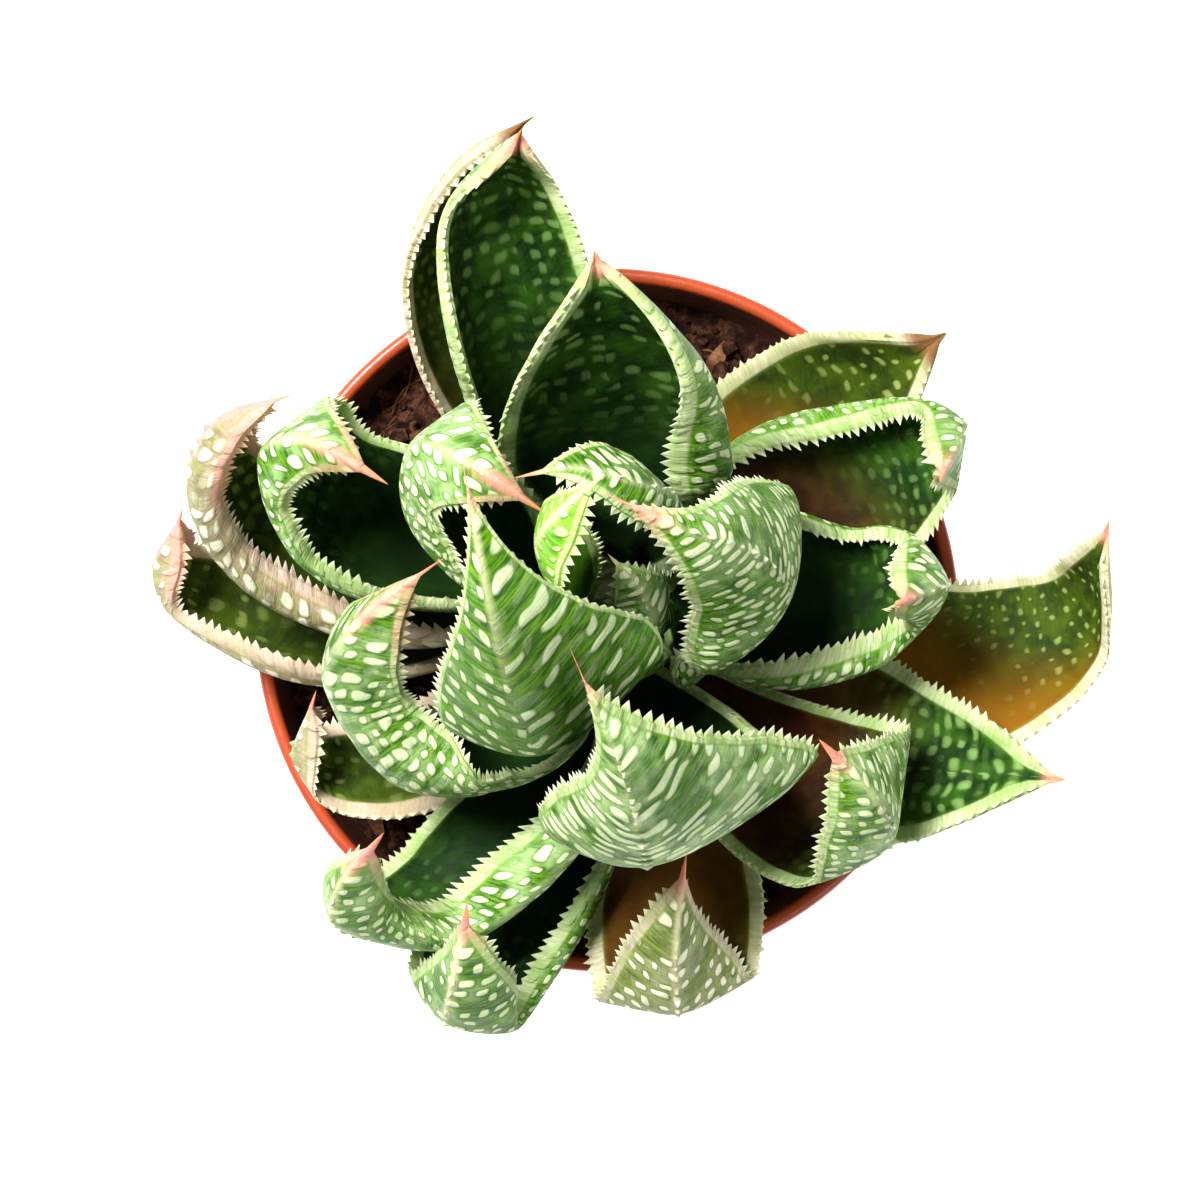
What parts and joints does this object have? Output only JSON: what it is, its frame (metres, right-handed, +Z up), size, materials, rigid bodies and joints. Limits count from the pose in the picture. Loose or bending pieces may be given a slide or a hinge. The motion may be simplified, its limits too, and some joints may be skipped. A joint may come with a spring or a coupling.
{
  "type": "potted gasteraloe",
  "caption": "Rosette of thick, keeled, incurved leaves with toothed margins and spine tips, on a short stem in a soil-filled round nursery pot",
  "frame": {"origin": "middle of the foot of the pot, on the pot's axis", "axes": "+Z up along the pot's axis; +Y toward the side that was at the top of the picture, +X toward its right"},
  "size_m": [0.1588, 0.1457, 0.1877],
  "materials": {
    "pot": "satin terracotta-coloured plastic",
    "soil": "loose dark peat with bark",
    "stem": "matt green stem",
    "heart": "young yellow-green leaf, faintly waxy",
    "leaf": "green leaf with pale flecks, faintly waxy",
    "old_leaf": "older green to rust leaf, faintly waxy"
  },
  "bodies": {
    "root": {"pot": "pot", "soil": "soil", "stem": "stem", "leaf_heart_west": "heart", "leaf_heart_east": "heart", "leaf_heart_north": "heart", "leaf_inner_front": "leaf", "leaf_inner_west": "leaf", "leaf_inner_east": "leaf", "leaf_inner_south": "leaf", "leaf_inner_southwest": "leaf", "leaf_middle_west": "leaf", "leaf_middle_north": "leaf", "leaf_middle_east": "leaf", "leaf_middle_southwest": "leaf", "leaf_middle_southeast": "leaf", "leaf_outer_north": "leaf", "leaf_outer_west": "leaf", "leaf_outer_northeast": "leaf", "leaf_outer_southeast": "leaf", "leaf_outer_southwest": "leaf", "leaf_lowest_south": "old_leaf", "leaf_lowest_northeast": "old_leaf", "leaf_lowest_north": "old_leaf", "leaf_lowest_east": "old_leaf", "leaf_lowest_west": "old_leaf", "leaf_lowest_southwest": "old_leaf"}
  },
  "joints": []
}
